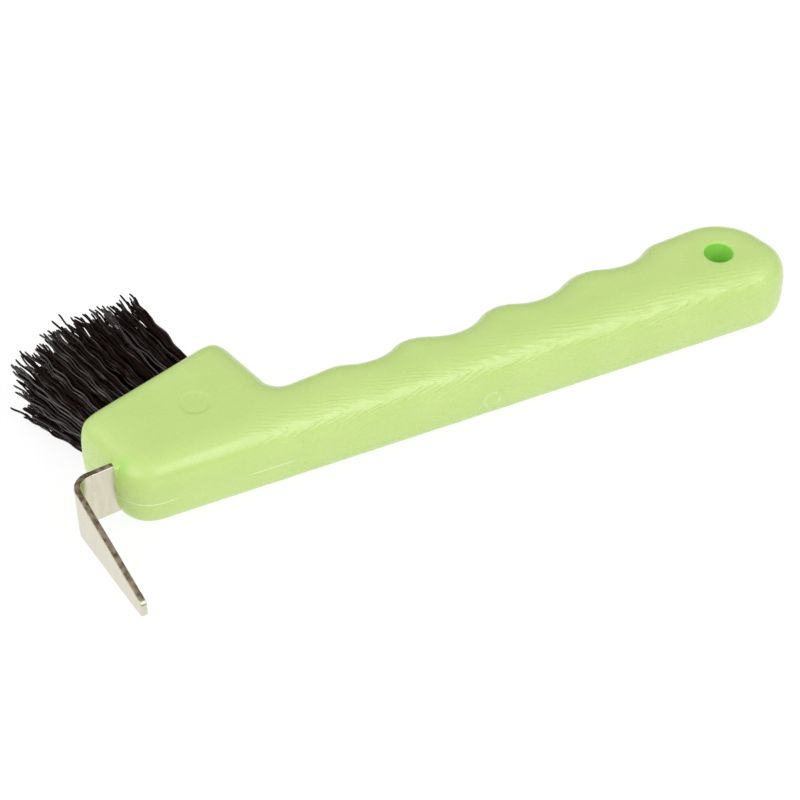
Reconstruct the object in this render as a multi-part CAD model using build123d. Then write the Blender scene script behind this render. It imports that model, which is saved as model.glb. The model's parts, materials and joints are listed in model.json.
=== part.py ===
"""Hoof pick: moulded grip, nickel-plated steel hook and a stapled brush, in millimetres.

The plan of the handle is drawn in its own X, Y: X runs from the head to the hanging hole, the
straight back of the grip lies on Y = 0, and the finger grooves and the brush face +Y. The pick
lies on its broad side, so Z is the thickness. Every part is moved at the end, so that the
origin is at the bottom centre of the whole object's box.
"""

from build123d import *
import math
import os

# ---- handle ---------------------------------------------------------------------------------
THICKNESS = 20.0  # between the two broad faces
EDGE_RADIUS = 8.4  # rounding of the long edges of the slab
HEAD_TILT = 18.0  # degrees that the head block is turned against the grip
HEAD_LENGTH = 41.5  # front end face to back shoulder, along the brush face
FRONT_FAR_CORNER = (1.8, 23.2)  # where the front end face meets the brush face
FRONT_NEAR_CORNER = (7.6, 0.0)  # where the front end face meets the straight back
FRONT_CORNER_RADIUS = 9.0  # front end face to the straight back
BRUSH_FACE_RADIUS = 4.2  # rounding all round the brush face
BLANK_MARGIN = 12.0  # stock beyond the brush face that is cut off
NECK = (48.5, 18.3)  # where the back shoulder meets the grip
NECK_RADIUS = 3.5
# Crests and hollows of the finger side: distance along the grip, width of the grip there.
FINGER_PROFILE = (
    (61.5, 19.0),
    (71.3, 17.0),
    (81.6, 20.2),
    (93.1, 17.7),
    (105.2, 21.8),
    (115.0, 19.8),
    (128.8, 23.9),
    (139.0, 22.2),
    (150.2, 26.0),
)
TAIL_FAR_CORNER = (171.6, 27.4)
TAIL_NEAR_CORNER = (179.0, 0.0)
TAIL_FAR_RADIUS = 11.8
TAIL_NEAR_RADIUS = 10.0

# ---- hanging hole and moulding witness mark -------------------------------------------------
HOLE_CENTRE = (160.3, 12.8)
HOLE_DIAMETER = 6.8
HOLE_LIP_RADIUS = 0.8
MARK_CENTRE = (29.0, 17.2)
MARK_DIAMETER = 6.8
MARK_DEPTH = 0.2

# ---- hook: a flat strap bent once, with a tang moulded into the head ------------------------
HOOK_TILT = 5.75  # degrees that the hook is turned against the grip
HOOK_CORNER = (-4.28, 8.56)  # where the outer faces of strap and arm would meet
STRAP_WIDTH = 14.5
STRAP_THICKNESS = 1.5
BEND_INNER_RADIUS = 3.2
ARM_LENGTH = 36.0  # hook corner to the tip
TAPER_START = 3.0  # hook corner to where the arm starts to narrow
TIP_WIDTH = 4.4
TIP_CORNER_RADIUS = 1.2
STRAP_REACH = 10.85  # hook corner to the face of the collar in the head
TANG_LENGTH = 30.0
TANG_HOLE_DIAMETER = 5.0
TANG_HOLE_PLACES = (9.0, 21.0)  # from the collar's face
TANG_NOTCH_RADIUS = 1.5
TANG_NOTCH_PLACE = 15.0
COLLAR_MARGIN = 0.8  # how far the collar stands out beside the strap's broad faces
COLLAR_DEPTH = 4.0
COLLAR_LEAN = -4.0  # degrees that the collar's face leans out at its top

# ---- brush: tufts folded over anchors in blind holes ----------------------------------------
TUFT_COLUMNS = 8
TUFT_ROWS = 3
COLUMN_PITCH = 4.1
ROW_PITCH = 3.9
FIRST_COLUMN = 4.9  # front corner of the brush face to the first column
TUFT_DIAMETER = 3.0
TUFT_DEPTH = 9.0
BRISTLE_LENGTH = 25.0  # out of the brush face, at the two ends of the brush
BRISTLE_CROWN = 3.0  # how much longer the bristles are in the middle of the brush
TUFT_TIP_DIAMETER = 4.2
TIP_COLUMN_PITCH = 4.4
TIP_ROW_PITCH = 6.9
ANCHOR_WIDTH = 3.7
ANCHOR_HEIGHT = 2.0
ANCHOR_THICKNESS = 0.4
ANCHOR_FLOOR_GAP = 0.9  # floor of the hole to the anchor

MIDDLE = THICKNESS / 2
TILT = math.radians(HEAD_TILT)
BRUSH_MIDDLE = FIRST_COLUMN + (TUFT_COLUMNS - 1) / 2 * COLUMN_PITCH  # along the brush face
BEND_OUTER_RADIUS = BEND_INNER_RADIUS + STRAP_THICKNESS
CUT_LENGTH = 2 * THICKNESS  # a cutter's length that goes right through
TOLERANCE = 0.001


def head_point(along, across):
    """Plan point measured from the front far corner, along the brush face and out of it."""
    x, y = FRONT_FAR_CORNER
    return Vector(
        x + along * math.cos(TILT) - across * math.sin(TILT),
        y + along * math.sin(TILT) + across * math.cos(TILT),
    )


# A plane on the brush face: x along it, y across the thickness, z straight out of it.
BRUSH_PLANE = Plane(
    origin=(*FRONT_FAR_CORNER, MIDDLE),
    x_dir=(math.cos(TILT), math.sin(TILT), 0),
    z_dir=(-math.sin(TILT), math.cos(TILT), 0),
)
# A plan frame at the hook's corner: x into the head along the strap, y away from the arm.
HOOK_PLANE = Plane(origin=(*HOOK_CORNER, MIDDLE), x_dir=(1, 0, 0)).rotated((0, 0, HOOK_TILT))


def finger_curve():
    """The finger side from neck to tail: two equal arcs between each crest and hollow."""
    curve = []
    for start, end in zip(FINGER_PROFILE, FINGER_PROFILE[1:]):
        start = Vector(*start)
        end = Vector(*end)
        middle = (start + end) / 2
        rise = TangentArc(start, middle, tangent=(1, 0))
        settle = TangentArc(middle, end, tangent=rise % 1)
        curve += [rise, settle]
    return curve


def blank_outline():
    """Plan of the handle, with stock left beyond the brush face."""
    front_near = Vector(*FRONT_NEAR_CORNER)
    front_far = Vector(*FRONT_FAR_CORNER)
    front_stock = (front_far - front_near).normalized() * BLANK_MARGIN
    corners = FilletPolyline(
        Vector(*FINGER_PROFILE[0]),
        Vector(*NECK),
        head_point(HEAD_LENGTH, BLANK_MARGIN),
        front_far + front_stock,
        front_near,
        Vector(*TAIL_NEAR_CORNER),
        Vector(*TAIL_FAR_CORNER),
        Vector(*FINGER_PROFILE[-1]),
        radius=(
            NECK_RADIUS,
            FRONT_CORNER_RADIUS,
            FRONT_CORNER_RADIUS,
            FRONT_CORNER_RADIUS,
            TAIL_NEAR_RADIUS,
            TAIL_FAR_RADIUS,
        ),
    )
    return make_face([*finger_curve(), corners])


def handle_blank():
    """Slab with its long edges rounded and the brush face cut flat and eased."""
    slab = extrude(blank_outline(), THICKNESS)
    slab = fillet(slab.edges().filter_by(Axis.Z, reverse=True), EDGE_RADIUS)
    stock = BRUSH_PLANE * Box(
        3 * HEAD_LENGTH,
        2 * THICKNESS,
        2 * BLANK_MARGIN,
        align=(Align.CENTER, Align.CENTER, Align.MIN),
    )
    slab -= stock
    brush_face = slab.faces().filter_by(BRUSH_PLANE).sort_by(Axis.Y)[-1]
    return fillet(brush_face.edges(), BRUSH_FACE_RADIUS)


def strap_profile():
    """Side view of the bent strap, as a band in the hook's own plan frame."""
    tang_end = STRAP_REACH + TANG_LENGTH
    band = Polyline(
        (tang_end, 0),
        (0, 0),
        (0, -ARM_LENGTH),
        (STRAP_THICKNESS, -ARM_LENGTH),
        (STRAP_THICKNESS, -STRAP_THICKNESS),
        (tang_end, -STRAP_THICKNESS),
        close=True,
    )
    face = make_face(band)
    face = fillet(face.vertices().sort_by_distance((0, 0))[0], BEND_OUTER_RADIUS)
    inner_corner = (STRAP_THICKNESS, -STRAP_THICKNESS)
    return fillet(face.vertices().sort_by_distance(inner_corner)[0], BEND_INNER_RADIUS)


def arm_front_view():
    """Outline of the arm seen square on: full width, then a straight taper to the tip."""
    half = STRAP_WIDTH / 2
    tip = TIP_WIDTH / 2
    outline = Polyline(
        (-half, STRAP_THICKNESS),
        (half, STRAP_THICKNESS),
        (half, -TAPER_START),
        (tip, -ARM_LENGTH),
        (-tip, -ARM_LENGTH),
        (-half, -TAPER_START),
        close=True,
    )
    face = make_face(outline)
    return fillet(face.vertices().sort_by(Axis.Y)[:2], TIP_CORNER_RADIUS)


def make_hook():
    """Strap bent through a right angle, with its arm tapered and its tang pierced."""
    band = extrude(strap_profile(), STRAP_WIDTH / 2, both=True)
    front = Plane(origin=(0, 0, 0), x_dir=(0, 0, 1), z_dir=(-1, 0, 0))
    arm_stock = extrude(front * arm_front_view(), BEND_OUTER_RADIUS, dir=(1, 0, 0))
    tang_stock = Pos(BEND_OUTER_RADIUS, 0) * Box(
        STRAP_REACH + TANG_LENGTH,
        2 * BEND_OUTER_RADIUS,
        STRAP_WIDTH,
        align=(Align.MIN, Align.CENTER, Align.CENTER),
    )
    hook = (band & arm_stock) + (band & tang_stock)
    drill = Rot(90, 0, 0) * Cylinder(TANG_HOLE_DIAMETER / 2, CUT_LENGTH)
    for place in TANG_HOLE_PLACES:
        hook -= Pos(STRAP_REACH + place, 0) * drill
    notch = Rot(90, 0, 0) * Cylinder(TANG_NOTCH_RADIUS, CUT_LENGTH)
    for edge in (-STRAP_WIDTH / 2, STRAP_WIDTH / 2):
        hook -= Pos(STRAP_REACH + TANG_NOTCH_PLACE, 0, edge) * notch
    return HOOK_PLANE * hook


def tuft_offset(column, row):
    """How many tufts a tuft is from the middle of the brush, along it and across it."""
    return column - (TUFT_COLUMNS - 1) / 2, row - (TUFT_ROWS - 1) / 2


def tuft_base(column, row):
    """Place on the brush face where a tuft comes out, in the brush plane."""
    along, across = tuft_offset(column, row)
    return Pos(BRUSH_MIDDLE + along * COLUMN_PITCH, across * ROW_PITCH)


def tuft_tip(column, row):
    """Place of a tuft's tip in the brush plane: the tufts fan out, and the brush is crowned."""
    along, across = tuft_offset(column, row)
    crown = BRISTLE_CROWN * (1 - (2 * along / (TUFT_COLUMNS - 1)) ** 2)
    return Pos(
        BRUSH_MIDDLE + along * TIP_COLUMN_PITCH,
        across * TIP_ROW_PITCH,
        BRISTLE_LENGTH + crown,
    )


def make_bore(column, row):
    """Blind tuft hole, from the brush face to its floor."""
    bore = Cylinder(TUFT_DIAMETER / 2, TUFT_DEPTH, align=(Align.CENTER, Align.CENTER, Align.MAX))
    return BRUSH_PLANE * tuft_base(column, row) * bore


def make_anchor(column, row):
    """Flat wire staple at the bottom of a tuft hole, wider than the hole so that it bites."""
    height = ANCHOR_FLOOR_GAP + ANCHOR_HEIGHT / 2 - TUFT_DEPTH
    staple = Box(ANCHOR_WIDTH, ANCHOR_THICKNESS, ANCHOR_HEIGHT)
    return BRUSH_PLANE * tuft_base(column, row) * Pos(0, 0, height) * staple


def make_tuft(column, row, anchor):
    """Bundle of bristles: a plug that fills its hole and a flared bundle outside it."""
    root = Circle(TUFT_DIAMETER / 2)
    tip = Circle(TUFT_TIP_DIAMETER / 2)
    bundle = loft([tuft_base(column, row) * root, tuft_tip(column, row) * tip])
    return make_bore(column, row) + BRUSH_PLANE * bundle - anchor


def make_handle(hook, bores, anchors):
    """Moulding with its collar, holes and mark, shaped round the hook's tang and the anchors."""
    handle = handle_blank()
    collar = Box(
        COLLAR_DEPTH,
        STRAP_THICKNESS + 2 * COLLAR_MARGIN,
        STRAP_WIDTH,
        align=(Align.MIN, Align.CENTER, Align.CENTER),
    )
    collar = HOOK_PLANE * Pos(STRAP_REACH, -STRAP_THICKNESS / 2) * Rot(0, COLLAR_LEAN, 0) * collar
    hanging_hole = Pos(*HOLE_CENTRE, MIDDLE) * Cylinder(HOLE_DIAMETER / 2, CUT_LENGTH)
    handle = handle + collar - hanging_hole
    circles = handle.edges().filter_by(GeomType.CIRCLE)
    rims = [edge for edge in circles if abs(edge.radius - HOLE_DIAMETER / 2) < TOLERANCE]
    handle = fillet(rims, HOLE_LIP_RADIUS)
    handle -= Pos(*MARK_CENTRE, THICKNESS) * Cylinder(MARK_DIAMETER / 2, 2 * MARK_DEPTH)
    for cut in [*bores, *anchors]:
        handle -= cut
    return handle - hook


def build_parts():
    """Every piece by its name, in the plan's own place."""
    hook = make_hook()
    tufts = {}
    anchors = {}
    bores = []
    for column in range(TUFT_COLUMNS):
        for row in range(TUFT_ROWS):
            place = f"c{column + 1}_r{row + 1}"
            anchor = make_anchor(column, row)
            anchors[f"anchor_{place}"] = anchor
            tufts[f"tuft_{place}"] = make_tuft(column, row, anchor)
            bores.append(make_bore(column, row))
    handle = make_handle(hook, bores, anchors.values())
    return {"handle": handle, "pick_hook": hook, **tufts, **anchors}


parts = build_parts()
box = Compound(children=[part.solid() for part in parts.values()]).bounding_box()
to_origin = Pos(-box.center().X, -box.center().Y, -box.min.Z)
print("moved by", to_origin.position, "size", box.size)
os.makedirs("parts", exist_ok=True)
for name, part in parts.items():
    export_step(to_origin * part.solid(), f"parts/{name}.step")
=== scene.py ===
"""Looks of the hoof pick: moulded green grip, nickel-plated hook and a brush of crimped bristles.

Shapes are worked out in millimetres in the handle's plan frame: X from the head to the hanging
hole, Y from the straight back to the finger grooves, Z through the thickness. in_frame() turns
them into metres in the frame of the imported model.
"""

import itertools
import json
import math

import bpy
import numpy as np
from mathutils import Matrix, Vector


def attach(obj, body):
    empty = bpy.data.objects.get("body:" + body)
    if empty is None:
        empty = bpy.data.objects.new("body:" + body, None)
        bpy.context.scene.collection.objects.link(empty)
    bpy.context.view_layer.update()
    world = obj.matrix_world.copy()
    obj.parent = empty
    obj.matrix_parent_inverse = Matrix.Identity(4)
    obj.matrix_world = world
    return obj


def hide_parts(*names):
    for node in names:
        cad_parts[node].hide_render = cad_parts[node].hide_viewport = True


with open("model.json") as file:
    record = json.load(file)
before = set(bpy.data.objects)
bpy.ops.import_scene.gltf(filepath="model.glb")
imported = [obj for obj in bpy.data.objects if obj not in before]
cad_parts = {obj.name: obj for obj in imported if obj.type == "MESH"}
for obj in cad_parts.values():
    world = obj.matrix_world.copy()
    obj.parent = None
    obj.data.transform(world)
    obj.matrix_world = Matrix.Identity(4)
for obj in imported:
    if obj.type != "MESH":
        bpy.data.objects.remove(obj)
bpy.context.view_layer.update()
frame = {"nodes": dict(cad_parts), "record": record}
draws = np.random.default_rng(20)

# ---- handle: the design's own dimensions, in millimetres ----
THICKNESS = 20.0
MIDDLE = THICKNESS / 2
BACK_TOP_RADIUS = 9.4  # rounding of the straight back's upper edge
BACK_BOTTOM_RADIUS = 8.0  # rounding of its lower edge
END_TOP_RADIUS = 8.2  # the upper edge's rounding at the two ends of the handle
FRONT_BOTTOM_RADIUS = 6.4  # the lower edge's rounding at the front end
FINGER_EDGE_RADIUS = 8.4  # rounding of the long edges on the finger side
HEAD_TILT = math.radians(18.0)
SHOULDER_REACH = 44.4  # front corner to the shoulder's line, along the brush face
FRONT_FAR_CORNER = (1.8, 23.2)
FRONT_NEAR_CORNER = (7.6, 0.0)
FRONT_NEAR_RADIUS = 9.0
FRONT_FAR_RADIUS = 4.2  # front end face to the brush face
BACK_FAR_RADIUS = 4.2  # brush face to the shoulder
BRUSH_EDGE_RADIUS = 3.7  # brush face to the broad faces
BLEND_RADIUS = 2.0  # where roundings of different sizes run into each other
NECK = (48.5, 17.8)
NECK_RADIUS = 3.0
HEAD_BLEND = (8, 40)  # X where the upper edge's rounding grows from the head's to the grip's
TAIL_BLEND = (178, 160)  # the same from the tail's
FRONT_BLEND = (2, 13)  # the same for the lower edge at the front end
WAIST_LENGTH = 8  # how far along the grip the narrowest groove's tighter rounding reaches
FINGER_PROFILE = (
    (61.5, 19.0),
    (71.3, 17.0),
    (81.6, 20.2),
    (93.1, 17.7),
    (105.2, 21.8),
    (115.0, 19.8),
    (128.8, 23.9),
    (139.0, 22.2),
    (150.2, 26.0),
)
TAIL_FAR_CORNER = (171.0, 27.5)
TAIL_NEAR_CORNER = (180.3, 0.0)
TAIL_FAR_RADIUS = 15.5
TAIL_NEAR_RADIUS = 10.0
HOLE_CENTRE = (160.3, 12.8)
HOLE_RADIUS = 3.4
HOLE_LIP_RADIUS = 0.6
MARK_CENTRE = (29.0, 17.2)
MARK_RADIUS = 3.4
MARK_DEPTH = 0.13
BEYOND = 60.0  # how far outlines run past the handle where another one bounds it
BACK_RUN_ON = 3  # how many times its own length an end face is drawn in the back's outline
TAIL_RUN_ON = 2  # how many more lengths the finger side's outline goes past the tail

# ---- hook ----
HOOK_TILT = math.radians(5.75)
HOOK_CORNER = (-4.28, 8.56)  # outer corner of the bend, as if it were sharp
STRAP_WIDTH = 14.5
STRAP_THICKNESS = 1.5
BEND_INNER_RADIUS = 3.2
ARM_LENGTH = 36.0
TAPER_START = 3.0  # down the arm from the corner
TIP_WIDTH = 4.4
TIP_CORNER_RADIUS = 1.2
TIP_BEVEL_LENGTH = 0.45
TIP_BEVEL_SLOPE = 0.35
STRAP_REACH = 10.85  # hook corner to the face of the collar in the head
TANG_LENGTH = 30.0
TANG_HOLE_RADIUS = 2.5
TANG_HOLE_PLACES = (9.0, 21.0)  # from the collar's face
TANG_NOTCH_RADIUS = 1.5
TANG_NOTCH_PLACE = 15.0  # from the collar's face
COLLAR_MARGIN = 0.8  # how far the collar stands out beside the strap's broad faces
COLLAR_DEPTH = 4.0
COLLAR_LEAN = math.radians(4.0)  # how far the collar's face leans out at its top
COLLAR_BEVEL = 0.2
COLLAR_CORNER_RADIUS = 0.5
SHEARED_EDGE_RADIUS = 0.22
SHEARED_BAND = (0.9, 0.1)  # in from the edge: where nicks fade out and where they are full
NICK_DEPTH = 0.2
NICK_LEVELS = (0.45, 0.9)  # of the noise: where a nick begins and where it is full
NICK_LENGTH = 1.3
NICK_HEIGHT = 1.1
NICK_THINNING = 0.25  # share of the thickness lost for each millimetre of a nick
EDGE_OFFSET = 7  # keeps the noise of one edge away from the other's
ARM_WAVE = 0.05  # how far the arm's faces are from flat
ARM_WAVE_LENGTH = 4
ARM_WAVE_START = -2  # the wave begins this far down from the corner

# ---- brush ----
TUFT_COLUMNS = 8
TUFT_ROWS = 3
COLUMN_PITCH = 4.1
ROW_PITCH = 3.9
FIRST_COLUMN = 4.9  # from the head's front corner, along the brush face
TUFT_RADIUS = 1.5
TUFT_DEPTH = 9.0
BRISTLE_LENGTH = 25.0
BRISTLE_CROWN = 3.0  # how much longer the middle columns are than the outer ones
TIP_COLUMN_PITCH = 4.4
TIP_ROW_PITCH = 6.4
TUFT_TIP_RADIUS = 2.6
BRISTLE_RADIUS = 0.27
BRISTLES_PER_TUFT = 27
BRISTLE_STATIONS = 38
BRISTLE_ROOT = (0.6, 1.5)  # first station as a share of the hole's depth, and the second's depth
LENGTH_JITTER = (-1.5, 1.9)  # mean and spread of the draws
TIP_JITTER = 0.3
LEAN_POWER = 1.15  # how late a bristle leans to its tip
CRIMP_SIZES = (0.12, 0.34)
CRIMP_WAVE_LENGTHS = (6.6, 8.4)
CRIMP_PLANES = (-0.5, 0.9)  # radians from the brush face's direction
CRIMP_START = 3  # the crimp is full after one part in so many of the length
PHASE_JITTER = 0.6
PLANE_JITTER = 0.4
BOW_JITTER = 0.45
FLOOR_GAP = 0.15
RISE_ABOVE = 2.5  # how far tips may stand above the handle
TIP_TAPER = 0.92
TIP_ROUNDING = 0.75

hole_mount = next(m for m in frame["record"]["mounts"] if m["name"] == "hanging_hole")
PLAN_ORIGIN = np.array(hole_mount["pos_m"]) * 1000 - np.array((*HOLE_CENTRE, MIDDLE))


def in_frame(points):
    """Points of the plan frame, in millimetres, as metres in the model's frame."""
    return (np.asarray(points, float) + PLAN_ORIGIN) / 1000


def smooth_step(low, high, value):
    """0 at low and 1 at high, level at both ends."""
    share = np.clip((value - low) / (high - low), 0, 1)
    return share * share * (3 - 2 * share)


def lattice_noise(x, y, seed):
    """Smooth noise from -1 to 1 with one random value per unit square."""
    size = 64
    table = np.random.default_rng(seed).uniform(-1, 1, (size, size))
    column = np.floor(x).astype(int)
    row = np.floor(y).astype(int)
    ahead = smooth_step(0, 1, x - column)
    aside = smooth_step(0, 1, y - row)

    def between_columns(row):
        first = table[column % size, row % size]
        second = table[(column + 1) % size, row % size]
        return first * (1 - ahead) + second * ahead

    return between_columns(row) * (1 - aside) + between_columns(row + 1) * aside


def add_mesh(name, points, faces, smooth=True):
    """A mesh object from points of the plan frame."""
    mesh = bpy.data.meshes.new(name)
    mesh.from_pydata(in_frame(points).tolist(), [], [tuple(face) for face in faces])
    mesh.validate()
    mesh.polygons.foreach_set("use_smooth", [smooth] * len(mesh.polygons))
    piece = bpy.data.objects.new(name, mesh)
    bpy.context.scene.collection.objects.link(piece)
    return piece


# ---- outlines and distances ----
def rounded_outline(corners, radii, step=0.4):
    """Closed outline with an arc of the given radius at each corner, or a sharp one for 0."""
    corners = np.asarray(corners, float)
    outline = []
    for index, (corner, radius) in enumerate(zip(corners, radii)):
        if radius == 0:
            outline.append(corner)
            continue
        back = corners[index - 1] - corner
        ahead = corners[(index + 1) % len(corners)] - corner
        back /= np.linalg.norm(back)
        ahead /= np.linalg.norm(ahead)
        half_angle = math.acos(np.dot(back, ahead)) / 2
        bisector = (back + ahead) / np.linalg.norm(back + ahead)
        centre = corner + bisector * radius / math.sin(half_angle)
        first = corner + back * radius / math.tan(half_angle) - centre
        last = corner + ahead * radius / math.tan(half_angle) - centre
        turn = math.pi - 2 * half_angle
        for share in np.linspace(0, 1, math.ceil(radius * turn / step) + 1):
            weights = math.sin((1 - share) * turn), math.sin(share * turn)
            outline.append(centre + (weights[0] * first + weights[1] * last) / math.sin(turn))
    return np.array(outline)


def finger_points(step=0.4):
    """The finger side: two equal arcs, level at their outer ends, between crest and hollow."""
    points = []
    for (x0, y0), (x1, y1) in zip(FINGER_PROFILE, FINGER_PROFILE[1:]):
        run = x1 - x0
        rise = y1 - y0
        radius = (run**2 + rise**2) / (4 * abs(rise))
        for x in np.arange(0, run, step):
            along = min(x, run - x)
            lift = math.copysign(radius - math.sqrt(radius**2 - along**2), rise)
            points.append((x0 + x, y0 + lift if x <= run / 2 else y1 - lift))
    points.append(FINGER_PROFILE[-1])
    return points


def signed_distance(x, y, outline):
    """Distance from the outline, negative inside, for arrays of x and y of one shape."""
    points = np.stack([x.ravel(), y.ravel()], axis=1)
    starts = outline
    edges = np.roll(outline, -1, axis=0) - starts
    lengths = (edges**2).sum(axis=1)
    nearest = np.full(len(points), np.inf)
    inside = np.zeros(len(points), bool)
    for start, edge, length in zip(starts, edges, lengths):
        if length == 0:
            continue
        offset = points - start
        share = np.clip(offset @ edge / length, 0, 1)
        gap = offset - share[:, None] * edge
        nearest = np.minimum(nearest, (gap**2).sum(axis=1))
        below = points[:, 1] < start[1]
        crosses = below != (points[:, 1] < start[1] + edge[1])
        with np.errstate(divide="ignore", invalid="ignore"):
            at = start[0] + (points[:, 1] - start[1]) * edge[0] / edge[1]
        inside ^= crosses & (points[:, 0] < at)
    return np.where(inside, -1, 1).reshape(x.shape) * np.sqrt(nearest).reshape(x.shape)


def rounded_slab(plan_distance, z, radius):
    """Distance from a slab of the handle's thickness with its long edges rounded."""
    beside = plan_distance + radius
    above = np.abs(z - MIDDLE) - (MIDDLE - radius)
    outer = np.hypot(np.maximum(beside, 0), np.maximum(above, 0))
    return outer + np.minimum(np.maximum(beside, above), 0) - radius


def rounded_cut(solid, cutter, radius):
    """Both distances' intersection, with a rounding where their surfaces meet."""
    outer = np.hypot(np.maximum(solid + radius, 0), np.maximum(cutter + radius, 0))
    return np.minimum(np.maximum(solid, cutter), -radius) + outer


def plan_point(origin, turn, along, across):
    """Point of a plan frame that is turned against the handle's."""
    return (
        origin[0] + along * math.cos(turn) - across * math.sin(turn),
        origin[1] + along * math.sin(turn) + across * math.cos(turn),
    )


def plan_coordinates(origin, turn, x, y):
    """The inverse: how far along and across a turned frame the points are."""
    x = x - origin[0]
    y = y - origin[1]
    return x * math.cos(turn) + y * math.sin(turn), y * math.cos(turn) - x * math.sin(turn)


def back_outline():
    """Front end face, straight back and tail end face, open towards the finger side."""
    near = np.array(FRONT_NEAR_CORNER)
    tail = np.array(TAIL_NEAR_CORNER)
    front_run = np.array(FRONT_FAR_CORNER) - near
    tail_run = np.array(TAIL_FAR_CORNER) - tail
    corners = [near + BACK_RUN_ON * front_run, near, tail, tail + BACK_RUN_ON * tail_run]
    return rounded_outline(corners, (0, FRONT_NEAR_RADIUS, TAIL_NEAR_RADIUS, 0))


def finger_outline():
    """Tail, finger grooves, neck and the head's shoulder, open towards the straight back."""
    tail = np.array(TAIL_NEAR_CORNER)
    tail_run = tail - np.array(TAIL_FAR_CORNER)
    fingers = finger_points()
    shoulder = plan_point(FRONT_FAR_CORNER, HEAD_TILT, SHOULDER_REACH, BEYOND / 2)
    corners = [
        shoulder,
        NECK,
        *fingers,
        TAIL_FAR_CORNER,
        tail + TAIL_RUN_ON * tail_run,
        (-BEYOND, -BEYOND),
        (-BEYOND, 2 * BEYOND),
    ]
    radii = [0, NECK_RADIUS, *[0] * len(fingers), TAIL_FAR_RADIUS, 0, 0, 0]
    return rounded_outline(corners, radii)


def spaced(*stretches):
    """Grid lines with a spacing of its own for each stretch of (start, end, spacing)."""
    lines = [
        np.linspace(start, end, round((end - start) / spacing), endpoint=False)
        for start, end, spacing in stretches
    ]
    return np.concatenate([*lines, [stretches[-1][1]]])


# ---- handle ----
PARTING_HEIGHT = 9.3  # the mould's parting line round the edge
GATE = (94.9, 8.2)  # X and Z of the gate mark on the straight back
GRID = (
    spaced((-6, 16, 0.42), (16, 46, 0.62), (46, 152, 0.8), (152, 181.6, 0.5)),
    spaced((-1.2, 38.4, 0.25)),
    spaced((-0.6, 8.6, 0.25), (8.6, 10.0, 0.1), (10.0, 20.7, 0.25)),
)


def handle_distance(x, y, z):
    """The plain moulding, from a plan grid of x and y and an array of z."""
    back = signed_distance(x, y, back_outline())
    fingers = signed_distance(x, y, finger_outline())
    narrowest = FINGER_PROFILE[1]
    slimmer = BACK_TOP_RADIUS + FINGER_EDGE_RADIUS - narrowest[1]
    waist = np.exp(-(((x - narrowest[0]) / WAIST_LENGTH) ** 2))
    finger_radius = FINGER_EDGE_RADIUS - slimmer * waist
    between_ends = smooth_step(*HEAD_BLEND, x) * smooth_step(*TAIL_BLEND, x)
    top_radius = END_TOP_RADIUS + (BACK_TOP_RADIUS - END_TOP_RADIUS) * between_ends
    behind_front = smooth_step(*FRONT_BLEND, x)
    bottom_radius = FRONT_BOTTOM_RADIUS + (BACK_BOTTOM_RADIUS - FRONT_BOTTOM_RADIUS) * behind_front
    back_radius = np.where(z > MIDDLE, top_radius, bottom_radius)
    solid = np.maximum(
        rounded_slab(back, z, back_radius),
        rounded_slab(fingers, z, finger_radius),
    )
    _, out = plan_coordinates(FRONT_FAR_CORNER, HEAD_TILT, x, y)
    front = rounded_cut(back, out, FRONT_FAR_RADIUS)
    shoulder = rounded_cut(fingers, out, BACK_FAR_RADIUS)
    brush_face = rounded_slab(np.maximum(front, shoulder), z, BRUSH_EDGE_RADIUS)
    solid = rounded_cut(solid, brush_face, BLEND_RADIUS)
    hole = np.hypot(x - HOLE_CENTRE[0], y - HOLE_CENTRE[1]) - HOLE_RADIUS
    return rounded_cut(solid, -hole, HOLE_LIP_RADIUS)


PROJECTIONS = 2  # times that a cell's point is moved onto the surface
LEAST_SLOPE = 0.2  # keeps those moves short where the field is nearly level


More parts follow.
